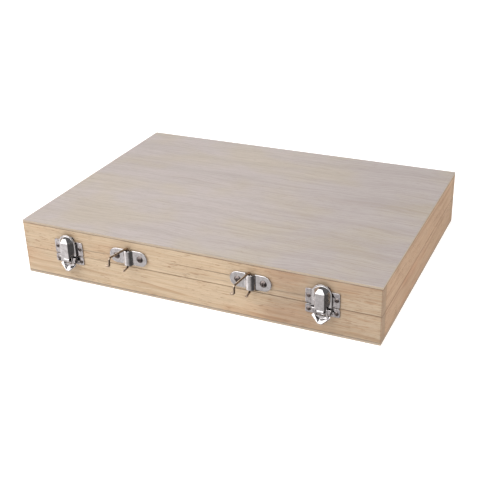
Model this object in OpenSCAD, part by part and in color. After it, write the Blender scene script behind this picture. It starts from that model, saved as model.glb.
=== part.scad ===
// Wooden art supply box: a shallow two-part case with draw latches and open wire handle loops.
// Millimetres. The origin is the centre of the underside, the front faces -Y and +Z is up.

/* [Case] */
// Width of the case, left to right
box_w = 390; // [340:1:460]
// Depth of the case, front to back
box_d = 285; // [240:1:340]
// Height of the closed case
box_h = 61; // [60:1:80]
// Thickness of the pine rails
rail_t = 12; // [9:0.5:14]
// Thickness of the plywood panels
panel_t = 2.6; // [2:0.2:4]
// Gap left between tray and lid when closed
seam_gap = 0.3; // [0.2:0.1:0.6]

/* [Compartments] */
// Thickness of the dividers
divider_t = 5; // [4:0.5:6]
// Height of the dividers above the floor
divider_h = 21; // [14:1:24]
// Depth of the long front compartment
front_bay = 92; // [60:1:130]
// Depth of the grooves that hold the dividers
groove_depth = 3; // [2:0.5:4]

/* [Latches] */
// Distance of each latch from the middle of the front
latch_x = 139; // [120:0.5:145]
// Width across the screw ears of a latch
latch_w = 34; // [33:0.5:38]
// Thickness of the stamped latch plates
plate_t = 1.2; // [1:0.1:1.2]
// Half width of the hood of the link
hood_r = 9.8; // [9.5:0.1:10.5]

/* [Handle loops] */
// Distance of each handle plate from the middle of the front
handle_x = 67; // [60:0.5:75]
// Length of a handle plate
handle_plate_w = 43.5; // [42:0.5:48]
// Height of a handle plate
handle_plate_h = 16.4; // [15:0.2:18]
// Radius of the loop wire
wire_r = 1.1; // [0.9:0.1:1.3]
// Reach of the upper arm of a loop
loop_reach = 30; // [20:1:36]
// Turn of the loops to the left of straight ahead
loop_yaw = 5; // [0:1:10]
// Upward tilt of the left loop in its loose hump
left_loop_tilt = 5; // [0:1:5]
// Upward tilt of the right loop in its loose hump
right_loop_tilt = 1; // [0:1:5]

/* [Hinges] */
// Distance of each hinge from the middle of the back
hinge_x = 125; // [90:1:150]
// Length of a hinge along its pin
hinge_l = 38; // [30:1:50]
// Distance of the hinge pin behind the back face
hinge_offset = 2.6; // [2.6:0.1:3]

/* [Hidden] */
$fn = 48;

eps = 0.01;
past = 1;                                   // how far a cutter runs past what it cuts
fit_gap = 0.1;                              // slip fit of wood in wood
housing = 1.5;                              // depth of the slots where the dividers meet
seam_z = box_h / 2;
tray_top = seam_z - seam_gap / 2;
lid_bottom = seam_z + seam_gap / 2;
lid_top = box_h - panel_t;
inner_w = box_w - 2 * rail_t;
inner_d = box_d - 2 * rail_t;
divider_top = panel_t + divider_h;
long_divider_y = -inner_d / 2 + front_bay + divider_t / 2;
short_divider_x = inner_w / 6;

// Latch, in its own frame: x from its middle, p outward from the front face, z from the seam.
ear_x = latch_w / 2 - 3.4;                  // screw columns
plate_corner = 1.6;                         // corner radius of the latch plates
keeper_z = [0.4, 16];                       // span of the keeper plate
keeper_screw_z = 8.6;
keeper_tab = [7.6, 21.4, 3];                // half width, top and corner radius of the tab
nose = [5, 18, 21, 2.4];                    // half width, bottom, top and reach of the keeper nose
base_z = [-9.4, -0.4];                      // span of the base plate
base_screw_z = -5.4;
lever_axis = [4.2, -2];                     // p and z of the lever pin
link_axis = [3.4, -6.2];                    // p and z of the link pin, just inside dead centre
lever_pin_r = 1;
lever_pin_head = [1.5, 0.6];                // radius and height
link_pin_r = 0.8;
running = 0.05;                             // radial clearance of a pin in a moving bore
cheek_x = [5, 6];                           // lever cheeks
cheek_r = 2;                                // round of a cheek at each pin
lug_x = [6.2, 9.2];                         // hollow pressed lugs of the base
lug_z = [-6.6, -0.6];
lug_p = 5.4;                                // front of a lug
lug_wall = 0.8;
hood_z = [0.6, 13.7];                       // hood bottom and centre of its round top
hood_p = [1.5, 3.6];                        // rim and front of the hood
hood_wall = 1;
hood_lift = 2.7;                            // back of the round top, clear of the nose
boss_wall = 0.9;
boss_foot_r = 8.6;                          // round top of the boss where it leaves the hood
boss_foot_x = 6.8;                          // half width of its foot at the bottom
boss_foot_z = [0.5, 8];                     // foot bottom, and the height at which it is full width
boss_face = [4.6, -0.4, 16.7, 9.4];         // half width, bottom, top and front of the flat face
boss_crest = [1.9, 20.9, 7.4];              // half width, height and p of the ridge above the face
boss_slice = 0.1;                           // thickness of the outlines it is stretched over
tongue_x = 3.4;                             // half width of the link tongue
tongue_roll = 1.5;                          // outer radius of the roll round the link pin
cheek_outline = [[2.2, -2.2], [6.2, -2], [5.4, -6.2], [5.4, -9.6], [2.7, -9.4], [1.4, -6.2]];
web_z = [-9.4, -8.9];                       // sides and top of the lever web
web_p = [2.5, 3.6];
lip_t = 1.1;                                // thickness of the finger lip
lip_lean = 0.3;                             // how far its underside is set back
lip_fold = [[-7.6, -7.4], [-1.4, -11.6], [1.4, -11.6], [7.6, -7.4]];
lip_edge = [[-9.2, -8.6, 5.2], [-2, -14.8, 8.2], [2, -14.8, 8.2], [9.2, -8.6, 5.2]];
tongue_outline = [[3.2, -4.71], [4.4, -5.1], [5.5, -3.2], [5.5, 1.2], [9, 1.2], [9, 0], [6.9, -0.4],
                  [6.9, -1], [7.8, -1.4], [8.3, -2.2], [8.3, -3.8], [7.6, -4.8], [5.3, -6],
                  [4.6, -7], [3.8, -7.4]];

// Screws: shank radius, shank length, head radius and head height.
latch_screw = [0.9, 7, 2.3, 1];
handle_screw = [1.5, 7, 3.7, 2];
hinge_screw = [1.1, 7, 2.4, 0.9];
recess = [0.55, 0.11, 0.35];                // half length, half width and floor of the cross recess

// Handle plate, in its own frame: x and z from its middle, p outward.
handle_z = 41.6;
handle_plate_t = 1.8;
hump_r = [4.4, 5.6];                        // inner and outer radius of the hump
handle_screw_x = 13.3;
wire_p = 2.3;                               // wire axis inside the hump
arm_lift = 1.2;                             // gap between the plate and an arm of the loop
arm_z = handle_plate_h / 2 + wire_r + arm_lift;
bend_r = 2.4;
lower_arm = 8.5;                            // reach of the short lower arm
tip_drop = 4.6;                             // drop of the turned-down tip
foot_r = 1.6;                               // bend of the turned foot
foot = 2.2;                                 // length of the turned foot
lower_slope = 15;                           // droop of the short lower arm

// Hinge: pin along X behind the back face at seam height.
hinge_y = box_d / 2 + hinge_offset;
knuckle_r = 2.5;
hinge_pin_r = 1.15;
hinge_pin_head = [2, 0.8];                  // radius and height
leaf_t = 1;
leaf_h = 13;
knuckles = 5;
knuckle_gap = 0.2;
knuckle_room = 0.3;                         // room round the other leaf's knuckles
knuckle_l = hinge_l / knuckles;
hinge_screw_x = hinge_l / 2 - 6;
hinge_screw_z = 8.6;

// ---------- helpers ----------

// Draws a (p, z) profile across x, centred.
module across(w) {
    rotate([90, 0, -90]) linear_extrude(w, center = true) children();
}

// Draws an (x, z) outline outward from p0 by t.
module outward(p0, t) {
    translate([0, -p0, 0]) rotate([90, 0, 0]) linear_extrude(t) children();
}

// A cylinder along x in the latch frame, from x0 to x1 at the point axis = [p, z].
module rod(axis, r, x0, x1) {
    translate([x0, -axis[0], axis[1]]) rotate([0, 90, 0]) cylinder(r = r, h = x1 - x0);
}

module box_at(low, high) {
    translate(low) cube(high - low);
}

module mirror_pair() {
    children();
    mirror([1, 0, 0]) children();
}

module at_latch(side) {
    translate([side * latch_x, -box_d / 2, seam_z]) children();
}

module at_handle(side) {
    translate([side * handle_x, -box_d / 2, handle_z]) children();
}

module at_hinge(side) {
    translate([side * hinge_x, 0, 0]) children();
}

// The cap of a sphere that is r wide and h high.
module dome(r, h) {
    ball = (r * r + h * h) / (2 * h);
    intersection() {
        translate([0, 0, h - ball]) sphere(ball);
        cylinder(r = r, h = h + eps);
    }
}

// A cross-recess screw whose head sits on p = seat.
module screw(s, seat) {
    translate([0, -seat, 0]) rotate([90, 0, 0]) difference() {
        union() {
            translate([0, 0, -s[1]]) cylinder(r = s[0], h = s[1] + eps);
            dome(s[2], s[3]);
        }
        for (turn = [0, 90])
            rotate(turn)
                box_at([-s[2] * recess[0], -s[2] * recess[1], s[3] * recess[2]],
                       [s[2] * recess[0], s[2] * recess[1], s[3] + past]);
    }
}

// Hole that the shank of a screw fills.
module pilot(s, seat) {
    translate([0, s[1] - seat, 0]) rotate([90, 0, 0]) cylinder(r = s[0], h = s[1] + past);
}

// Clearance hole through a plate for a screw.
module screw_hole(s, t) {
    translate([0, eps, 0]) rotate([90, 0, 0]) cylinder(r = s[0] + fit_gap, h = t + 2 * eps);
}

module at_keeper_screws() {
    for (x = [-ear_x, ear_x]) translate([x, 0, keeper_screw_z]) children();
}

module at_base_screws() {
    for (x = [-ear_x, ear_x]) translate([x, 0, base_screw_z]) children();
}

module at_handle_screws() {
    for (x = [-handle_screw_x, handle_screw_x]) translate([x, 0, 0]) children();
}

// Hinge screws on the leaf that lies above (dir = 1) or below (dir = -1) the pin.
module at_hinge_screws(dir) {
    for (x = [-hinge_screw_x, hinge_screw_x])
        translate([x, box_d / 2, seam_z + dir * hinge_screw_z]) rotate([0, 0, 180]) children();
}

// ---------- case ----------

module front_rail(z0, z1) {
    box_at([-box_w / 2, -box_d / 2, z0], [box_w / 2, -box_d / 2 + rail_t, z1]);
}

module side_rail(z0, z1) {
    box_at([-box_w / 2, -inner_d / 2, z0], [-box_w / 2 + rail_t, inner_d / 2, z1]);
}

module panel(z0) {
    box_at([-box_w / 2, -box_d / 2, z0], [box_w / 2, box_d / 2, z0 + panel_t]);
}

module tray_front_rail() {
    color("burlywood") difference() {
        front_rail(panel_t, tray_top);
        for (side = [-1, 1]) at_latch(side) at_base_screws() pilot(latch_screw, plate_t);
    }
}

// Cutter for a slot that holds the left (side = -1) or right (side = 1) short divider.
module divider_slot(side, y0, y1) {
    half = divider_t / 2 + fit_gap;
    box_at([side * short_divider_x - half, y0, panel_t - past],
           [side * short_divider_x + half, y1, divider_top + fit_gap]);
}

module tray_back_rail() {
    color("burlywood") difference() {
        mirror([0, 1, 0]) front_rail(panel_t, tray_top);
        for (side = [-1, 1]) at_hinge(side) at_hinge_screws(-1) pilot(hinge_screw, leaf_t);
        for (side = [-1, 1]) divider_slot(side, inner_d / 2 - past, inner_d / 2 + groove_depth);
    }
}

// Left rail with the groove for the long divider.
module grooved_side_rail() {
    difference() {
        side_rail(panel_t, tray_top);
        box_at([-inner_w / 2 - groove_depth, long_divider_y - divider_t / 2 - fit_gap, panel_t - past],
               [-inner_w / 2 + past, long_divider_y + divider_t / 2 + fit_gap, divider_top + fit_gap]);
    }
}

module tray_left_rail() {
    color("burlywood") grooved_side_rail();
}

module tray_right_rail() {
    color("burlywood") mirror([1, 0, 0]) grooved_side_rail();
}

module tray_bottom_panel() {
    color("tan") panel(0);
}

module divider_long() {
    reach = inner_w / 2 + groove_depth - fit_gap;
    y0 = long_divider_y - divider_t / 2;
    y1 = long_divider_y + divider_t / 2;
    color("wheat") difference() {
        box_at([-reach, y0, panel_t], [reach, y1, divider_top]);
        for (side = [-1, 1]) divider_slot(side, y1 - housing, y1 + past);
    }
}

module short_divider(side) {
    y0 = long_divider_y + divider_t / 2 - housing + fit_gap;
    y1 = inner_d / 2 + groove_depth - fit_gap;
    color("wheat") box_at([side * short_divider_x - divider_t / 2, y0, panel_t],
                          [side * short_divider_x + divider_t / 2, y1, divider_top]);
}

module lid_front_rail() {
    color("burlywood") difference() {
        front_rail(lid_bottom, lid_top);
        for (side = [-1, 1]) {
            at_latch(side) at_keeper_screws() pilot(latch_screw, plate_t);
            at_handle(side) at_handle_screws() pilot(handle_screw, handle_plate_t);
        }
    }
}

module lid_back_rail() {
    color("burlywood") difference() {
        mirror([0, 1, 0]) front_rail(lid_bottom, lid_top);
        for (side = [-1, 1]) at_hinge(side) at_hinge_screws(1) pilot(hinge_screw, leaf_t);
    }
}

module lid_left_rail() {
    color("burlywood") side_rail(lid_bottom, lid_top);
}

module lid_right_rail() {
    color("burlywood") mirror([1, 0, 0]) side_rail(lid_bottom, lid_top);
}

module lid_top_panel() {
    color("tan") panel(lid_top);
}

// ---------- latch ----------

// A rounded rectangle in (x, z), symmetric in x.
module rounded_plate(half_w, z0, z1, r) {
    translate([-half_w + r, z0]) square([2 * half_w - 2 * r, z1 - z0]);
    translate([-half_w, z0 + r]) square([2 * half_w, z1 - z0 - 2 * r]);
    for (x = [-half_w + r, half_w - r], z = [z0 + r, z1 - r]) translate([x, z]) circle(r);
}

module keeper() {
    color("silver") difference() {
        union() {
            outward(0, plate_t) rounded_plate(latch_w / 2, keeper_z[0], keeper_z[1], plate_corner);
            outward(0, plate_t) rounded_plate(keeper_tab[0], keeper_z[0], keeper_tab[1], keeper_tab[2]);
            outward(plate_t - eps, nose[3] - plate_t + eps)
                translate([-nose[0], nose[1]]) square([2 * nose[0], nose[2] - nose[1]]);
        }
        at_keeper_screws() screw_hole(latch_screw, plate_t);
    }
}

module keeper_screws() {
    color("gray") at_keeper_screws() screw(latch_screw, plate_t);
}

module base_screws() {
    color("gray") at_base_screws() screw(latch_screw, plate_t);
}

// Side view of a lug in (p, z), rounded at its front corners.
module lug_profile() {
    r = lug_wall;
    back = plate_t / 2;
    translate([back, lug_z[0]]) square([lug_p - r - back, lug_z[1] - lug_z[0]]);
    translate([back, lug_z[0] + r]) square([lug_p - back, lug_z[1] - lug_z[0] - 2 * r]);
    for (z = [lug_z[0] + r, lug_z[1] - r]) translate([lug_p - r, z]) circle(r);
}

// The right lug: a strip folded into a channel that is open above and below.
module lug() {
    difference() {
        translate([(lug_x[0] + lug_x[1]) / 2, 0, 0]) across(lug_x[1] - lug_x[0]) lug_profile();
        box_at([lug_x[0] + lug_wall, lug_wall - lug_p, lug_z[0] - past],
               [lug_x[1] - lug_wall, -plate_t, lug_z[1] + past]);
    }
}

module latch_base() {
    color("silver") difference() {
        union() {
            outward(0, plate_t) rounded_plate(latch_w / 2, base_z[0], base_z[1], plate_corner);
            mirror_pair() lug();
        }
        rod(lever_axis, lever_pin_r, -lug_x[1] - past, lug_x[1] + past);
        at_base_screws() screw_hole(latch_screw, plate_t);
    }
}

// A headed pin stub through each lug and cheek.
module lever_pin() {
    color("silver") mirror_pair() {
        rod(lever_axis, lever_pin_r, cheek_x[0], lug_x[1]);
        rod(lever_axis, lever_pin_head[0], lug_x[1], lug_x[1] + lever_pin_head[1]);
    }
}

module link_pin() {
    color("silver") rod(link_axis, link_pin_r, -cheek_x[1], cheek_x[1]);
}

// Finger lip: a sheet folded to a blunt V that flares outward and down from the lever.
module lip() {
    fold = [for (q = lip_fold) [q[0], -web_p[1], q[1]]];
    edge = [for (q = lip_edge) [q[0], -q[2], q[1]]];
    top = concat(fold, edge);
    under = [for (q = top) q + [0, lip_lean, -lip_t]];
    strips = [for (i = [0 : 2]) each [
        [i, i + 1, i + 5],
        [i, i + 5, i + 4],
        [i + 8, i + 13, i + 9],
        [i + 8, i + 12, i + 13],
        [i, i + 8, i + 9],
        [i, i + 9, i + 1],
        [i + 4, i + 5, i + 13],
        [i + 4, i + 13, i + 12]]];
    ends = [[0, 4, 12], [0, 12, 8], [3, 15, 7], [3, 11, 15]];
    polyhedron(points = concat(top, under), faces = concat(strips, ends));
}

module cheek_profile() {
    for (axis = [lever_axis, link_axis]) translate(axis) circle(cheek_r);
    polygon(cheek_outline);
}

// Closed plate between the cheeks, cut to the V of the lip.
module web() {
    x = cheek_x[1];
    fold = [for (q = lip_fold) if (abs(q[0]) < cheek_x[0]) q - [0, lip_t / 2]];
    outward(web_p[0], web_p[1] - web_p[0])
        polygon(concat([[x, web_z[1]], [-x, web_z[1]], [-x, web_z[0]]], fold, [[x, web_z[0]]]));
}

module latch_lever() {
    color("silver") difference() {
        union() {
            lip();
            web();
            mirror_pair() translate([(cheek_x[0] + cheek_x[1]) / 2, 0, 0])
                across(cheek_x[1] - cheek_x[0]) cheek_profile();
        }
        rod(lever_axis, lever_pin_r + running, -cheek_x[1] - past, cheek_x[1] + past);
        rod(link_axis, link_pin_r, -cheek_x[1] - past, cheek_x[1] + past);
    }
}

// The hood seen from the front: straight sides and a round top.
module arch(r, z0) {
    translate([-r, z0]) square([2 * r, hood_z[1] - z0]);
    translate([0, hood_z[1]]) circle(r);
}

// Outline of the boss where it leaves the hood.
module boss_foot(inset) {
    r = boss_foot_r - inset;
    x = boss_foot_x - inset;
    low = boss_foot_z[0] - inset;
    wide = boss_foot_z[1];
    polygon([[-x, low], [-r, wide], [-r, hood_z[1]], [r, hood_z[1]], [r, wide], [x, low]]);
    translate([0, hood_z[1]]) circle(r);
}

// Pressed boss: wide at the hood, with a flat face and a facet that leans back above it.
// An inset draws its hollow.
module boss(inset) {
    hull() {
        outward(hood_p[1] - hood_wall / 2 - inset, boss_slice) boss_foot(inset);
        outward(boss_face[3] - boss_slice - inset, boss_slice)
            translate([inset - boss_face[0], boss_face[1] - inset])
                square([2 * (boss_face[0] - inset), boss_face[2] - boss_face[1]]);
        outward(boss_crest[2] - boss_slice - inset, boss_slice)
            translate([inset / 2 - boss_crest[0], boss_crest[1] - inset - boss_slice])
                square([2 * boss_crest[0] - inset, boss_slice]);
    }
}

// Side view of the tongue: the roll round the link pin and the knob that joins it to the boss.
module tongue_profile() {
    translate(link_axis) circle(tongue_roll);
    polygon(tongue_outline);
}

module latch_link() {
    color("silver") difference() {
        union() {
            difference() {
                union() {
                    outward(hood_p[0], hood_p[1] - hood_p[0]) arch(hood_r, hood_z[0]);
                    boss(0);
                }
                outward(0, hood_p[1] - hood_wall) arch(hood_r - hood_wall, hood_z[0] - past);
                outward(0, hood_lift)
                    translate([-hood_r - past, hood_z[1]]) square([2 * (hood_r + past), hood_r + past]);
                boss(boss_wall);
            }
            across(2 * tongue_x) tongue_profile();
        }
        rod(link_axis, link_pin_r + running, -tongue_x - past, tongue_x + past);
    }
}

// ---------- handle loops ----------

module handle_plate() {
    half_h = handle_plate_h / 2;
    half_w = handle_plate_w / 2;
    color("silver") difference() {
        union() {
            outward(0, handle_plate_t) {
                translate([-half_w + half_h, -half_h]) square([2 * (half_w - half_h), handle_plate_h]);
                for (side = [-1, 1]) translate([side * (half_w - half_h), 0]) circle(half_h);
            }
            intersection() {
                translate([0, 0, -half_h]) cylinder(r = hump_r[1], h = handle_plate_h);
                box_at([-hump_r[1], -hump_r[1], -half_h], [hump_r[1], 0, half_h]);
            }
        }
        translate([0, 0, -half_h - past]) cylinder(r = hump_r[0], h = handle_plate_h + 2 * past);
        at_handle_screws() screw_hole(handle_screw, handle_plate_t);
    }
}

module handle_screws() {
    color("gray") at_handle_screws() screw(handle_screw, handle_plate_t);
}

// A straight wire that runs outward from p0 to p1.
module wire_out(p0, p1, z) {
    translate([0, -p0, z]) rotate([90, 0, 0]) cylinder(r = wire_r, h = p1 - p0);
}

// A straight wire that runs upward from z0 to z1.
module wire_up(p, z0, z1) {
    translate([0, -p, z0]) cylinder(r = wire_r, h = z1 - z0);
}

// A bend in the (p, z) plane round a centre: from the angle start, where 0 is outward and 90 is up.
module bend(centre, start, turn = 90) {
    translate([0, -centre[0], centre[1]]) rotate([90, 0, -90]) rotate(start)
        rotate_extrude(angle = turn) translate([bend_r, 0]) circle(wire_r);
}

// An open loop: short lower arm, post in the hump, long upper arm, turned-down tip and foot.
module handle_loop(tilt) {
    front = wire_p + loop_reach;
    bend_p = wire_p + bend_r;
    shoulder = arm_z - bend_r;
    foot_z = shoulder - tip_drop;
    color("silver") translate([0, -wire_p, 0]) rotate([-tilt, 0, -loop_yaw]) translate([0, wire_p, 0]) {
        translate([0, -bend_p, -shoulder]) rotate([lower_slope, 0, 0]) rotate([90, 0, 0])
            translate([0, -bend_r, 0]) cylinder(r = wire_r, h = lower_arm - bend_r);
        bend([bend_p, -shoulder], 180, 90 - lower_slope);
        wire_up(wire_p, -shoulder, shoulder);
        bend([bend_p, shoulder], 90);
        wire_out(bend_p, front - bend_r, arm_z);
        bend([front - bend_r, shoulder], 0);
        wire_up(front, foot_z, shoulder);
        translate([-foot_r, -front, foot_z]) rotate([90, 0, 0]) rotate(270)
            rotate_extrude(angle = 90) translate([foot_r, 0]) circle(wire_r);
        translate([-foot_r - foot, -front, foot_z - foot_r])
            rotate([0, 90, 0]) cylinder(r = wire_r, h = foot);
    }
}

// ---------- hinges ----------

// A leaf above (dir = 1) or below (dir = -1) the pin, with the knuckles numbered in own.
// It is bored play wider than the pin.
module hinge_leaf(dir, own, play) {
    leaf_low = seam_z + (dir > 0 ? 0 : -leaf_h);
    color("silver") difference() {
        union() {
            box_at([-hinge_l / 2, box_d / 2, leaf_low],
                   [hinge_l / 2, box_d / 2 + leaf_t, leaf_low + leaf_h]);
            for (k = own) translate([-hinge_l / 2 + (k + 0.5) * knuckle_l, 0, 0]) knuckle(dir);
        }
        for (k = [0 : knuckles - 1]) if (len(search(k, own)) == 0)
            translate([-hinge_l / 2 + (k + 0.5) * knuckle_l, hinge_y, seam_z]) rotate([0, 90, 0])
                cylinder(r = knuckle_r + knuckle_room, h = knuckle_l + knuckle_gap, center = true);
        translate([-hinge_l, hinge_y, seam_z])
            rotate([0, 90, 0]) cylinder(r = hinge_pin_r + play, h = 2 * hinge_l);
        at_hinge_screws(dir) screw_hole(hinge_screw, leaf_t);
    }
}

module knuckle(dir) {
    l = knuckle_l - knuckle_gap;
    low = seam_z + (dir > 0 ? 0 : -knuckle_r);
    translate([0, hinge_y, seam_z]) rotate([0, 90, 0]) cylinder(r = knuckle_r, h = l, center = true);
    box_at([-l / 2, box_d / 2, low], [l / 2, hinge_y, low + knuckle_r]);
}

module hinge_pin() {
    head_r = hinge_pin_head[0];
    head_h = hinge_pin_head[1];
    color("silver") translate([-hinge_l / 2 - head_h, hinge_y, seam_z]) rotate([0, 90, 0]) {
        cylinder(r = hinge_pin_r, h = hinge_l + 2 * head_h);
        cylinder(r = head_r, h = head_h);
        translate([0, 0, hinge_l + head_h]) cylinder(r = head_r, h = head_h);
    }
}

module hinge_screws(dir) {
    color("gray") at_hinge_screws(dir) screw(hinge_screw, leaf_t);
}

// ---------- assembly ----------

tray_front_rail();
tray_back_rail();
tray_left_rail();
tray_right_rail();
tray_bottom_panel();
divider_long();
short_divider(-1);  // divider_left
short_divider(1);  // divider_right
lid_front_rail();
lid_back_rail();
lid_left_rail();
lid_right_rail();
lid_top_panel();
at_latch(-1) latch_base();  // left_latch_base
at_latch(1) latch_base();  // right_latch_base
at_latch(-1) base_screws();  // left_latch_base_screws
at_latch(1) base_screws();  // right_latch_base_screws
at_latch(-1) lever_pin();  // left_lever_pin
at_latch(1) lever_pin();  // right_lever_pin
at_latch(-1) latch_lever();  // left_latch_lever
at_latch(1) latch_lever();  // right_latch_lever
at_latch(-1) link_pin();  // left_link_pin
at_latch(1) link_pin();  // right_link_pin
at_latch(-1) latch_link();  // left_latch_link
at_latch(1) latch_link();  // right_latch_link
at_latch(-1) keeper();  // left_keeper
at_latch(1) keeper();  // right_keeper
at_latch(-1) keeper_screws();  // left_keeper_screws
at_latch(1) keeper_screws();  // right_keeper_screws
at_handle(-1) handle_plate();  // left_handle_plate
at_handle(1) handle_plate();  // right_handle_plate
at_handle(-1) handle_screws();  // left_handle_screws
at_handle(1) handle_screws();  // right_handle_screws
at_handle(-1) handle_loop(left_loop_tilt);  // left_handle_loop
at_handle(1) handle_loop(right_loop_tilt);  // right_handle_loop
at_hinge(-1) hinge_leaf(-1, [0, 2, 4], 0);  // left_hinge_tray_leaf
at_hinge(1) hinge_leaf(-1, [0, 2, 4], 0);  // right_hinge_tray_leaf
at_hinge(-1) hinge_leaf(1, [1, 3], running);  // left_hinge_lid_leaf
at_hinge(1) hinge_leaf(1, [1, 3], running);  // right_hinge_lid_leaf
at_hinge(-1) hinge_pin();  // left_hinge_pin
at_hinge(1) hinge_pin();  // right_hinge_pin
at_hinge(-1) hinge_screws(-1);  // left_hinge_tray_screws
at_hinge(1) hinge_screws(-1);  // right_hinge_tray_screws
at_hinge(-1) hinge_screws(1);  // left_hinge_lid_screws
at_hinge(1) hinge_screws(1);  // right_hinge_lid_screws
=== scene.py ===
import math

import bpy
from mathutils import Matrix, Vector


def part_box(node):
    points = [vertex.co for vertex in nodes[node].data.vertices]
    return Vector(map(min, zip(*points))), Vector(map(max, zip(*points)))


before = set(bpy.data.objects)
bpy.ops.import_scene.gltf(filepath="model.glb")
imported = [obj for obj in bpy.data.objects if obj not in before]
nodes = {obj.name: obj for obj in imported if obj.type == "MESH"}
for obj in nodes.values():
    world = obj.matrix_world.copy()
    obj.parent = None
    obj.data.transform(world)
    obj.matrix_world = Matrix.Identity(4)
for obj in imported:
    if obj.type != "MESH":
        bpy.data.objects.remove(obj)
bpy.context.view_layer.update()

MM = 0.001
X_AXIS, Y_AXIS, Z_AXIS = (1, 0, 0), (0, 1, 0), (0, 0, 1)

# Whole case, from the frame
case_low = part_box("tray_bottom_panel")[0]
case_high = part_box("lid_top_panel")[1]
seam_z = (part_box("tray_front_rail")[1].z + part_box("lid_front_rail")[0].z) / 2
# In millimetres: from the seam to either panel, and from the middle to either side face
panel_joint = (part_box("lid_front_rail")[1].z - seam_z) / MM
corner_x = case_high.x / MM


def rgb(red, green, blue):
    return (red, green, blue, 1.0)


# ---------- node trees ----------

class Nodes:
    """A shader node tree, built a node at a time. Methods return the socket that carries the result."""

    def __init__(self, tree):
        self.tree = tree

    def put(self, socket, value):
        if isinstance(value, bpy.types.NodeSocket):
            self.tree.links.new(value, socket)
        else:
            socket.default_value = value

    def add(self, kind, inputs, output=0, **settings):
        node = self.tree.nodes.new(kind)
        for key, value in settings.items():
            setattr(node, key, value)
        for key, value in inputs.items():
            self.put(node.inputs[key], value)
        return node.outputs[output]

    def math(self, operation, a, b=0.0):
        return self.add("ShaderNodeMath", {0: a, 1: b}, operation=operation)

    def times(self, product, *factors):
        for factor in factors:
            product = self.math("MULTIPLY", product, factor)
        return product

    def dot(self, a, b):
        return self.add("ShaderNodeVectorMath", {0: a, 1: b}, "Value", operation="DOT_PRODUCT")

    def split(self, point):
        """The three coordinates of a point."""
        return tuple(self.add("ShaderNodeSeparateXYZ", {0: point}).node.outputs)

    def fade(self, value, low, high, to_low=0.0, to_high=1.0):
        """Maps low..high to to_low..to_high with a soft start and end."""
        inputs = {0: value, 1: low, 2: high, 3: to_low, 4: to_high}
        return self.add("ShaderNodeMapRange", inputs, interpolation_type="SMOOTHSTEP")

    def mix(self, amount, a, b, blend="MIX"):
        inputs = {0: amount, 6: a, 7: b}
        return self.add("ShaderNodeMix", inputs, 2, data_type="RGBA", blend_type=blend)

    def tint(self, colour, by):
        return self.mix(1.0, colour, by, "MULTIPLY")


class Surface(Nodes):
    """The node tree of one material."""

    def __init__(self, name):
        self.material = bpy.data.materials.new(name)
        self.material.use_nodes = True
        super().__init__(self.material.node_tree)
        self.shader = self.tree.nodes["Principled BSDF"]

    def place(self, turn=0.0, start=(0, 0, 0)):
        """The point on the object in millimetres, turned about Z and moved to start."""
        point = self.add("ShaderNodeTexCoord", {}, "Object")
        moves = {"Vector": point, "Scale": (1 / MM,) * 3, "Rotation": (0, 0, turn), "Location": start}
        return self.add("ShaderNodeMapping", moves)

    def facing(self, axis):
        """How squarely the surface faces along an axis, either way: 0 edge on, 1 face on."""
        normal = self.add("ShaderNodeTexCoord", {}, "Normal")
        return self.math("ABSOLUTE", self.dot(normal, axis))

    def noise(self, point, scale=1.0, detail=2.0, roughness=0.5, distortion=0.0):
        inputs = {"Vector": point, "Scale": scale, "Detail": detail,
                  "Roughness": roughness, "Distortion": distortion}
        return self.add("ShaderNodeTexNoise", inputs)

    def drawn_noise(self, point, lengths, **look):
        """Noise drawn out to a length in millimetres along each axis of the point."""
        drawn = self.add("ShaderNodeVectorMath", {0: point, 1: lengths}, operation="DIVIDE")
        return self.noise(drawn, **look)

    def swing(self, noise, amount):
        """Noise as a shift to either side, for an amount of full travel."""
        return self.times(self.math("SUBTRACT", noise, 0.5), amount)

    def grey(self, shade):
        return self.add("ShaderNodeCombineXYZ", {0: shade, 1: shade, 2: shade})

    def bump(self, height, distance, strength=1.0):
        inputs = {"Height": height, "Distance": distance, "Strength": strength}
        return self.add("ShaderNodeBump", inputs)

    def finish(self, **inputs):
        for key, value in inputs.items():
            self.put(self.shader.inputs[key.replace("_", " ")], value)
        return self.material


# ---------- camera and light ----------

LENS = 66.77
CAMERA_TARGET = Vector((11.8, -48.3, 30.5)) * MM
CAMERA_AZIMUTH, CAMERA_ELEVATION, CAMERA_ROLL = 25.567, 26.648, -1.937
CAMERA_DISTANCE = 943.2

# What the camera sees behind the case
WALL = (0.95, 0.95, 0.95, 1)
# What lights the dull surfaces: shade of the dome by height, from 0 at the horizon to 1 overhead
DOME = [(0.30, 0.09), (0.62, 0.87)]
CARD_TINT = (1.04, 1.0, 0.99)
# Lights that only the metal reflects: a window at the front left, a lamp at the front right and one
# behind. Each is (azimuth, elevation), full radius and faded radius, all in degrees, and strength
REFLECTED_LIGHTS = [
    ((-48, 42), 36, 46, 2.5),
    ((25, 40), 13, 24, 2.5),
    ((-154, 28), 14, 24, 2.0),
]
REFLECTED_SKY = 0.16
# Cards below the horizon that only the metal reflects: shade from the far left (0) to the far right (1)
LOW_CARDS = [
    (0.03, 0.15), (0.08, 0.72), (0.17, 0.72), (0.26, 0.38),
    (0.45, 0.34), (0.64, 0.18), (0.76, 0.05),
]
LOW_CARD_STRENGTH = 1.85
# Heights between which the cards give way to the sky
REFLECTED_HORIZON = (-0.03, 0.10)

SOFTBOX_DISTANCE = 1.3


def direction(azimuth, elevation):
    """Unit vector towards a place seen from the case: azimuth 0 is in front, 90 on the right."""
    a, e = math.radians(azimuth), math.radians(elevation)
    return Vector((math.sin(a) * math.cos(e), -math.cos(a) * math.cos(e), math.sin(e)))


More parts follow.
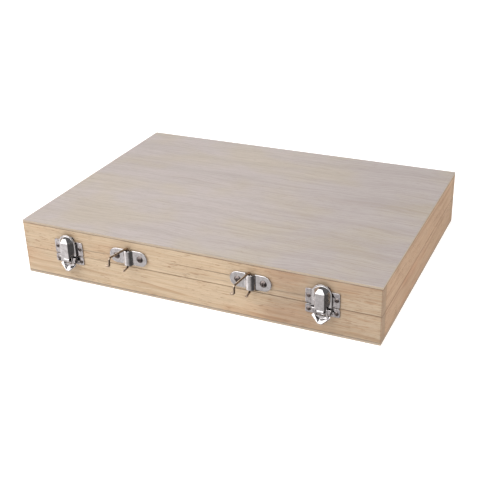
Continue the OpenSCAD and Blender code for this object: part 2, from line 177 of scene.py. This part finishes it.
def aim(thing, target, roll=0.0):
    """Turns a camera or light to face the target, then rolls it, in degrees."""
    turn = (target - thing.location).to_track_quat("-Z", "Y").to_matrix()
    thing.rotation_euler = (turn @ Matrix.Rotation(math.radians(roll), 3, "Z")).to_euler()


def make_camera():
    data = bpy.data.cameras.new("camera")
    data.lens = LENS
    camera = bpy.data.objects.new("camera", data)
    bpy.context.scene.collection.objects.link(camera)
    towards = direction(CAMERA_AZIMUTH, CAMERA_ELEVATION)
    camera.location = CAMERA_TARGET + towards * CAMERA_DISTANCE * MM
    aim(camera, CAMERA_TARGET, CAMERA_ROLL)
    bpy.context.scene.camera = camera


def softbox(name, azimuth, elevation, size, power, colour):
    """A large soft light on the middle of the case, which the metal does not reflect."""
    data = bpy.data.lights.new(name, "AREA")
    data.shape = "RECTANGLE"
    data.size, data.size_y = size
    data.energy = power
    data.color = colour
    light = bpy.data.objects.new(name, data)
    bpy.context.scene.collection.objects.link(light)
    light.location = direction(azimuth, elevation) * SOFTBOX_DISTANCE
    light.visible_glossy = False
    aim(light, Vector((0, 0, seam_z)))


def ramp(room, value, stops):
    """Slightly warm shades of grey at stops along a value."""
    colour = room.add("ShaderNodeValToRGB", {0: value})
    elements = colour.node.color_ramp.elements
    while len(elements) < len(stops):
        elements.new(0.5)
    for element, (position, shade) in zip(elements, stops):
        element.position = position
        element.color = (shade * CARD_TINT[0], shade * CARD_TINT[1], shade * CARD_TINT[2], 1)
    return colour


def glow(room, place, towards, inner, outer, strength):
    """A soft round light: full within inner degrees of a direction and gone at outer degrees."""
    closeness = room.dot(place, direction(*towards))
    gone = math.cos(math.radians(outer))
    full = math.cos(math.radians(inner))
    return room.fade(closeness, gone, full, 0.0, strength)


def reflected_room(room, place, sideways, height):
    """What the metal reflects: lights in a dim sky, over cards that darken towards the right."""
    lights = REFLECTED_SKY
    for light in REFLECTED_LIGHTS:
        lights = room.math("ADD", lights, glow(room, place, *light))
    across = room.add("ShaderNodeMath", {0: sideways, 1: 0.5, 2: 0.5}, operation="MULTIPLY_ADD")
    cards = ramp(room, across, LOW_CARDS)
    cards = room.add("ShaderNodeVectorMath", {0: cards, 3: LOW_CARD_STRENGTH}, operation="SCALE")
    return room.mix(room.fade(height, *REFLECTED_HORIZON), cards, lights)


def make_room():
    """Dull surfaces are lit by a dome, the camera sees a pale wall, and metal reflects its own room."""
    world = bpy.data.worlds.new("studio")
    world.use_nodes = True
    bpy.context.scene.world = world
    room = Nodes(world.node_tree)
    place = room.add("ShaderNodeTexCoord", {}, "Generated")
    sideways, _, height = room.split(place)
    glossy = room.add("ShaderNodeLightPath", {}, "Is Glossy Ray")
    camera = room.add("ShaderNodeLightPath", {}, "Is Camera Ray")
    dome = ramp(room, height, DOME)
    mirrored = reflected_room(room, place, sideways, height)
    seen = room.mix(camera, room.mix(glossy, dome, mirrored), WALL)
    room.put(room.tree.nodes["Background"].inputs["Color"], seen)


# ---------- floor ----------

FLOOR_HALF = 6.0
FLOOR_GAP = 0.1 * MM
FLOOR_GLOW = 0.42


def floor_paint():
    """Pale paint, clear from below. Metal does not reflect it: the room's cards stand in for it."""
    s = Surface("floor_paint")
    point = s.place()
    tooth = s.drawn_noise(point, (3, 3, 3), detail=3)
    cloud = s.drawn_noise(point, (400, 400, 400), detail=1)
    colour = s.mix(s.fade(cloud, 0.3, 0.7), rgb(0.90, 0.90, 0.90), rgb(0.92, 0.92, 0.91))
    s.finish(Base_Color=colour, Roughness=0.8, Normal=s.bump(tooth, 0.05 * MM, 0.3),
             Emission_Color=rgb(1, 1, 1), Emission_Strength=FLOOR_GLOW)
    glossy = s.add("ShaderNodeLightPath", {}, "Is Glossy Ray")
    below = s.add("ShaderNodeNewGeometry", {}, "Backfacing")
    unseen = s.math("MAXIMUM", glossy, below)
    clear = s.add("ShaderNodeBsdfTransparent", {})
    both = s.add("ShaderNodeMixShader", {0: unseen, 1: s.shader.outputs[0], 2: clear})
    s.put(s.tree.nodes["Material Output"].inputs["Surface"], both)
    return s.material


def make_floor():
    """A floor just under the case, not touching it, so that the two never share a plane."""
    mesh = bpy.data.meshes.new("floor")
    signs = [(-1, -1), (1, -1), (1, 1), (-1, 1)]
    corners = [(x * FLOOR_HALF, y * FLOOR_HALF, 0) for x, y in signs]
    mesh.from_pydata(corners, [], [(0, 1, 2, 3)])
    mesh.materials.append(floor_paint())
    floor = bpy.data.objects.new("floor", mesh)
    floor.location.z = case_low.z - FLOOR_GAP
    bpy.context.scene.collection.objects.link(floor)


# ---------- wood ----------

ALONG_X, ALONG_Y = 0.0, math.radians(90)
PINE = {"light": rgb(0.57, 0.447, 0.312), "dark": rgb(0.40, 0.262, 0.152)}
BROWN_PINE = {"light": rgb(0.49, 0.335, 0.218), "dark": rgb(0.335, 0.197, 0.115)}
PINK_TINT = rgb(0.96, 0.84, 0.78)
BROWN_TINT = rgb(0.77, 0.76, 0.78)
END_TINT = rgb(0.78, 0.74, 0.74)
FLAME = rgb(0.38, 0.21, 0.10)
FLECK = rgb(0.27, 0.14, 0.065)
CANAL = rgb(0.19, 0.10, 0.05)
# Dark glue colour, also the colour of painted shade in the joints, the seam and the corners
GLUE_AND_SHADE = rgb(0.13, 0.075, 0.04)

VENEER = {
    "light": rgb(0.445, 0.40, 0.388),
    "dark": rgb(0.338, 0.292, 0.272),
    "core": rgb(0.48, 0.385, 0.275),
}
SCAR_TINT = rgb(0.86, 0.80, 0.70)
YELLOW_TINT = rgb(1.02, 1.0, 0.86)
PORE = rgb(0.22, 0.16, 0.12)

# Growth rings in millimetres: their spacing, and how far they wander and ripple
RING_WIDTH = 2.6
RING_WANDER = 26
RING_RIPPLE = 2.4
# Veneer in millimetres: how far its lines wander, and the middle and half width of its stained band
VENEER_WANDER = 22
SCAR_Y, SCAR_HALF = 18, 9.0


def glue_and_shade_lines(s):
    """Painted shade on upright faces along the seam and down the corners, and dark glue with painted
    shade beside the panels.
    """
    point = s.place()
    x, _, z = s.split(point)
    from_seam = s.math("ABSOLUTE", s.math("SUBTRACT", z, seam_z / MM))
    # Painted shade in the gap between tray and lid
    seam = s.times(s.fade(from_seam, 0.3, 0.7, 1.0, 0.0), s.fade(x, -150, -60, 0.2, 1.0))
    # Dark glue with painted shade where the panels meet the rails
    begins = s.fade(from_seam, panel_joint - 0.75, panel_joint - 0.3)
    ends = s.fade(from_seam, panel_joint + 0.1, panel_joint + 0.5, 1.0, 0.0)
    joint_glue_and_shade = s.math("MAXIMUM", seam, s.times(begins, ends))
    patchy = s.drawn_noise(point, (30, 30, 4))
    joint_glue_and_shade = s.times(joint_glue_and_shade, s.fade(patchy, 0.3, 0.55, 0.45, 1.0))
    # Painted shade: a dark line down the corner edges
    corner_shade = s.fade(s.math("ABSOLUTE", x), corner_x - 1.3, corner_x - 0.5, 0.0, 0.55)
    corner_shade = s.times(corner_shade, s.fade(s.facing(Y_AXIS), 0.6, 0.9))
    upright = s.fade(s.facing(Z_AXIS), 0.6, 0.95, 1.0, 0.0)
    return s.times(s.math("MAXIMUM", joint_glue_and_shade, corner_shade), upright)


def late_wood(s, point, pith, slope):
    """The dark part of each growth ring. The rings are wavy cylinders round a pith line that runs along
    the grain, so each face shows its own cut: long flames on the faces and curved rings on the ends."""
    along, across, up = s.split(point)
    wander = s.swing(s.drawn_noise(point, (150, 60, 60)), RING_WANDER)
    ripple = s.swing(s.drawn_noise(point, (38, 12, 12)), RING_RIPPLE)
    shift = s.math("ADD", s.math("ADD", wander, ripple), s.times(along, slope))
    from_pith = s.add("ShaderNodeCombineXYZ", {
        "Y": s.math("SUBTRACT", across, pith[0]),
        "Z": s.math("ADD", s.math("SUBTRACT", up, pith[1]), shift)})
    radius = s.add("ShaderNodeVectorMath", {0: from_pith}, "Value", operation="LENGTH")
    rings = s.math("DIVIDE", radius, RING_WIDTH)
    phase = s.math("FRACT", rings)
    rise = s.fade(phase, 0.25, 0.9)
    fall = s.fade(phase, 0.93, 1.0, 1.0, 0.0)
    year = s.add("ShaderNodeTexWhiteNoise", {"W": s.math("FLOOR", rings)}, noise_dimensions="1D")
    worn = s.drawn_noise(point, (55, 9, 9))
    uneven = s.fade(year, 0.0, 1.0, 0.15, 1.0)
    return s.times(rise, fall, uneven, s.fade(worn, 0.36, 0.62, 0.2, 1.0))


def browned(s, colour, point, starts, full, eases, eased):
    """Turns a board darker and flamed from starts to full, and a little lighter from eases to eased."""
    along = s.split(point)[0]
    begins = s.fade(along, starts, full)
    ends = s.fade(along, eases, eased, 1.0, 0.75)
    colour = s.mix(s.times(begins, ends), colour, s.tint(colour, BROWN_TINT))
    flame = s.drawn_noise(point, (36, 1.9, 1.9), detail=3, roughness=0.6, distortion=0.3)
    flame = s.times(s.fade(flame, 0.53, 0.64), begins)
    return s.mix(s.times(flame, 0.42), colour, FLAME)


def end_grain(s, colour, point, dark):
    pores = s.drawn_noise(point, (1, 0.3, 0.3))
    return s.mix(s.fade(pores, 0.4, 0.65, 0.0, 0.5), s.tint(colour, END_TINT), dark)


def timber(name, grain, start, pith, light, dark, slope=0.02, brown=None):
    """Sawn pine: rings, streaks, pinkish clouds, fibres, and small dark flecks and resin canals."""
    s = Surface(name)
    point = s.place(grain, start)
    late = late_wood(s, point, pith, slope)
    fibre = s.drawn_noise(point, (22, 0.42, 0.42), detail=3, roughness=0.6)
    streak = s.drawn_noise(point, (70, 1.5, 1.5), detail=3, roughness=0.65)
    cloud = s.drawn_noise(point, (70, 26, 26), detail=3)
    bare = s.drawn_noise(point, (60, 30, 30), detail=1)
    canal = s.fade(s.drawn_noise(point, (8, 0.55, 0.55), detail=1), 0.645, 0.715)
    canal = s.times(canal, s.fade(bare, 0.38, 0.6))
    fleck = s.fade(s.drawn_noise(point, (13, 1.3, 1.3), distortion=0.4), 0.61, 0.69)
    fleck = s.times(fleck, s.fade(bare, 0.34, 0.56))

    colour = s.mix(s.times(late, 0.78), light, dark)
    colour = s.mix(s.fade(streak, 0.42, 0.70, 0.0, 0.5), colour, dark)
    colour = s.mix(s.fade(cloud, 0.5, 0.72, 0.0, 0.8), colour, s.tint(colour, PINK_TINT))
    if brown:
        colour = browned(s, colour, point, *brown)
    colour = s.tint(colour, s.grey(s.fade(fibre, 0.25, 0.75, 0.87, 1.08)))
    colour = s.mix(s.times(fleck, 0.62), colour, FLECK)
    colour = s.mix(s.times(canal, 0.75), colour, CANAL)
    end = s.fade(s.facing(X_AXIS if grain == ALONG_X else Y_AXIS), 0.6, 0.85)
    colour = s.mix(end, colour, end_grain(s, colour, point, dark))
    # Painted shade and dark glue along the seam, the panel joints and the corners
    colour = s.mix(s.times(glue_and_shade_lines(s), 0.8), colour, GLUE_AND_SHADE)

    height = s.math("ADD", s.times(fibre, 0.6), s.times(late, 0.35))
    height = s.math("SUBTRACT", height, s.times(canal, 0.8))
    roughness = s.fade(fibre, 0.2, 0.8, 0.52, 0.68)
    return s.finish(Base_Color=colour, Roughness=roughness, Normal=s.bump(height, 0.10 * MM, 0.7))


def ply_edges(s, face, point, dark, core):
    """The sides of a panel: fuzzy cut plies, with a dark line of glue and painted shade where they meet
    the rails.
    """
    side = s.fade(s.facing(Z_AXIS), 0.35, 0.7, 1.0, 0.0)
    fuzz = s.drawn_noise(point, (1.2, 1.2, 0.25), detail=3, roughness=0.7)
    plies = s.mix(s.fade(fuzz, 0.35, 0.7, 0.0, 0.6), core, dark)
    colour = s.mix(side, face, plies)
    from_seam = s.math("ABSOLUTE", s.math("SUBTRACT", s.split(point)[2], seam_z / MM))
    # Dark glue with painted shade along the panel edge next to the rails
    edge_glue_and_shade = s.fade(from_seam, panel_joint + 0.15, panel_joint + 0.6, 0.85, 0.0)
    return s.mix(s.times(edge_glue_and_shade, side), colour, GLUE_AND_SHADE)


def veneer(name, light, dark, core):
    """Plywood panel: rotary-cut face veneer with fine wavy lines along X, and cut plies at the sides."""
    s = Surface(name)
    point = s.place()
    along, across, up = s.split(point)
    wave = s.swing(s.drawn_noise(point, (110, 55, 55)), VENEER_WANDER)
    bent = s.math("ADD", across, wave)
    sheet = s.add("ShaderNodeCombineXYZ", {"X": along, "Y": bent, "Z": up})
    lines = s.drawn_noise(sheet, (110, 2.3, 60), detail=4, roughness=0.65)
    broad = s.drawn_noise(sheet, (320, 24, 60))
    fibre = s.drawn_noise(sheet, (24, 0.5, 8), roughness=0.6)
    dashes = s.drawn_noise(sheet, (18, 1.1, 18), roughness=0.6)
    pore = s.fade(s.drawn_noise(sheet, (8, 0.45, 8), detail=1), 0.63, 0.72)
    cloud = s.drawn_noise(point, (90, 60, 60), detail=3)
    scar = s.fade(s.math("ABSOLUTE", s.math("SUBTRACT", bent, SCAR_Y)), 0.0, SCAR_HALF, 1.0, 0.0)
    scar = s.times(scar, s.fade(broad, 0.42, 0.6))

    colour = s.mix(s.fade(lines, 0.38, 0.68, 0.0, 0.6), light, dark)
    colour = s.mix(s.fade(dashes, 0.5, 0.75, 0.0, 0.6), colour, dark)
    colour = s.mix(s.fade(broad, 0.45, 0.7, 0.0, 0.35), colour, dark)
    colour = s.mix(s.times(scar, 0.6), colour, s.tint(dark, SCAR_TINT))
    colour = s.mix(s.fade(cloud, 0.42, 0.66, 0.0, 0.8), colour, s.tint(colour, YELLOW_TINT))
    colour = s.mix(s.times(pore, 0.4), colour, PORE)
    # Painted shade: the panel darkens towards the right
    painted_shade_right = s.fade(along, -40, 170, 1.0, 0.91)
    shade = s.times(s.fade(fibre, 0.25, 0.75, 0.93, 1.05), painted_shade_right)
    colour = s.tint(colour, s.grey(shade))
    colour = ply_edges(s, colour, point, dark, core)

    height = s.math("SUBTRACT", s.times(fibre, 0.5), s.times(pore, 0.7))
    height = s.math("ADD", height, s.times(lines, 0.5))
    roughness = s.fade(fibre, 0.2, 0.8, 0.5, 0.64)
    return s.finish(Base_Color=colour, Roughness=roughness, Normal=s.bump(height, 0.08 * MM, 0.7))


# ---------- metal ----------

# In millimetres: the size of the dents and of the dark specks in the plate, and how deep the dents are
DENT_SIZE = 3.2
SPECK_SIZE = 0.7
DENT_DEPTH = 0.05
SPECK = rgb(0.16, 0.12, 0.09)


def plated(name, tint, dull, rough=(0.10, 0.24), smudge=4.0):
    """Nickel plate over pressed steel: a slightly wavy mirror with smudges and fine rub marks."""
    s = Surface(name)
    point = s.place()
    film = s.noise(point, scale=1 / smudge, detail=3, roughness=0.6)
    rubs = s.drawn_noise(point, (0.25, 0.25, 3.0), roughness=0.7)
    dents = s.noise(point, scale=1 / DENT_SIZE, detail=1)
    specks = s.fade(s.noise(point, scale=1 / SPECK_SIZE), 0.68, 0.74)
    colour = s.mix(s.fade(film, 0.35, 0.7), tint, dull)
    colour = s.mix(s.times(specks, 0.35), colour, SPECK)
    wear = s.math("ADD", s.times(film, 0.7), s.times(rubs, 0.3))
    roughness = s.fade(wear, 0.3, 0.7, *rough)
    height = s.math("ADD", dents, s.times(rubs, 0.04))
    normal = s.bump(height, DENT_DEPTH * MM)
    return s.finish(Base_Color=colour, Metallic=1.0, Roughness=roughness, Normal=normal)


# ---------- dressing the CAD nodes ----------

WELD_DISTANCE = 0.002 * MM
FLAT_ANGLE = math.radians(1)
SHARP_ANGLE = math.radians(35)


def dress(name, material, edge=0.0, segments=3):
    """Gives a node its material and, where edge is set, rounds its sharp edges by that many mm."""
    node = nodes[name]
    node.data.materials.clear()
    node.data.materials.append(material)
    if not edge:
        return
    weld = node.modifiers.new("weld", "WELD")
    weld.merge_threshold = WELD_DISTANCE
    flat = node.modifiers.new("flat", "DECIMATE")
    flat.decimate_type = "DISSOLVE"
    flat.angle_limit = FLAT_ANGLE
    bevel = node.modifiers.new("bevel", "BEVEL")
    bevel.width = edge * MM
    bevel.segments = segments
    bevel.limit_method = "ANGLE"
    bevel.angle_limit = SHARP_ANGLE
    bevel.use_clamp_overlap = False
    even = node.modifiers.new("even", "WEIGHTED_NORMAL")
    even.keep_sharp = True


# Where each board is cut from: a start along its own log, and the pith as (across, up)
RAILS = {
    "tray_front_rail": dict(grain=ALONG_X, start=(0, 0, 40), pith=(-18, 8), slope=0.03,
                            brown=(66, 96, 118, 150), **PINE),
    "lid_front_rail": dict(grain=ALONG_X, start=(900, 0, 0), pith=(-26, 30), slope=-0.02,
                           brown=(972, 1000, 1020, 1050), **PINE),
    "tray_back_rail": dict(grain=ALONG_X, start=(1800, 0, 20), pith=(30, -8), **PINE),
    "lid_back_rail": dict(grain=ALONG_X, start=(2700, 0, 50), pith=(36, 66), **PINE),
    "tray_left_rail": dict(grain=ALONG_Y, start=(400, 0, 0), pith=(40, 10), **PINE),
    "lid_left_rail": dict(grain=ALONG_Y, start=(1300, 0, 10), pith=(60, 70), **PINE),
    "tray_right_rail": dict(grain=ALONG_Y, start=(2200, 0, 30), pith=(-60, 20), **BROWN_PINE),
    "lid_right_rail": dict(grain=ALONG_Y, start=(3100, 0, 60), pith=(-40, 110), **BROWN_PINE),
    "divider_long": dict(grain=ALONG_X, start=(3600, 0, 0), pith=(-70, 0), **PINE),
    "divider_left": dict(grain=ALONG_Y, start=(4500, 0, 0), pith=(-90, 40), **PINE),
    "divider_right": dict(grain=ALONG_Y, start=(5400, 0, 0), pith=(80, 60), **PINE),
}


def make_boards():
    for name, look in RAILS.items():
        dress(name, timber("wood_" + name, **look), edge=0.4)
    for name in ("lid_top_panel", "tray_bottom_panel"):
        dress(name, veneer("wood_" + name, **VENEER), edge=0.35)


def make_metals():
    """Edges stay under half the wall they round, so that the two sides of a wall never meet."""
    nickel = plated("nickel", rgb(0.60, 0.575, 0.58), rgb(0.38, 0.355, 0.36), smudge=3.0)
    bright = plated("bright_nickel", rgb(0.66, 0.64, 0.645), rgb(0.52, 0.50, 0.50), rough=(0.07, 0.18))
    steel = plated("screw_steel", rgb(0.24, 0.20, 0.19), rgb(0.11, 0.09, 0.085),
                   rough=(0.28, 0.45), smudge=1.5)
    wire = plated("wire", rgb(0.46, 0.37, 0.29), rgb(0.25, 0.18, 0.13), rough=(0.15, 0.32), smudge=2.0)
    hinge = plated("hinge_steel", rgb(0.54, 0.52, 0.50), rgb(0.42, 0.40, 0.38), rough=(0.2, 0.34))
    for side in ("left", "right"):
        dress(side + "_latch_link", bright, edge=0.36)
        dress(side + "_latch_lever", bright, edge=0.22)
        dress(side + "_keeper", nickel, edge=0.5)
        dress(side + "_latch_base", nickel, edge=0.36)
        dress(side + "_handle_plate", bright, edge=0.7, segments=4)
        dress(side + "_handle_loop", wire)
        for pin in ("_lever_pin", "_link_pin", "_hinge_pin"):
            dress(side + pin, hinge, edge=0.12)
        for leaf in ("_hinge_tray_leaf", "_hinge_lid_leaf"):
            dress(side + leaf, hinge, edge=0.15)
        for screws in ("_latch_base_screws", "_keeper_screws", "_handle_screws",
                       "_hinge_tray_screws", "_hinge_lid_screws"):
            dress(side + screws, steel, edge=0.08)


# ---------- the scene ----------

make_camera()
make_room()
make_floor()
softbox("key", azimuth=-38, elevation=52, size=(0.9, 0.7), power=9, colour=(1.0, 0.985, 0.96))
softbox("fill", azimuth=78, elevation=28, size=(0.9, 0.9), power=6, colour=(1.0, 0.99, 0.985))
make_boards()
make_metals()

bpy.context.scene.view_settings.view_transform = "Standard"
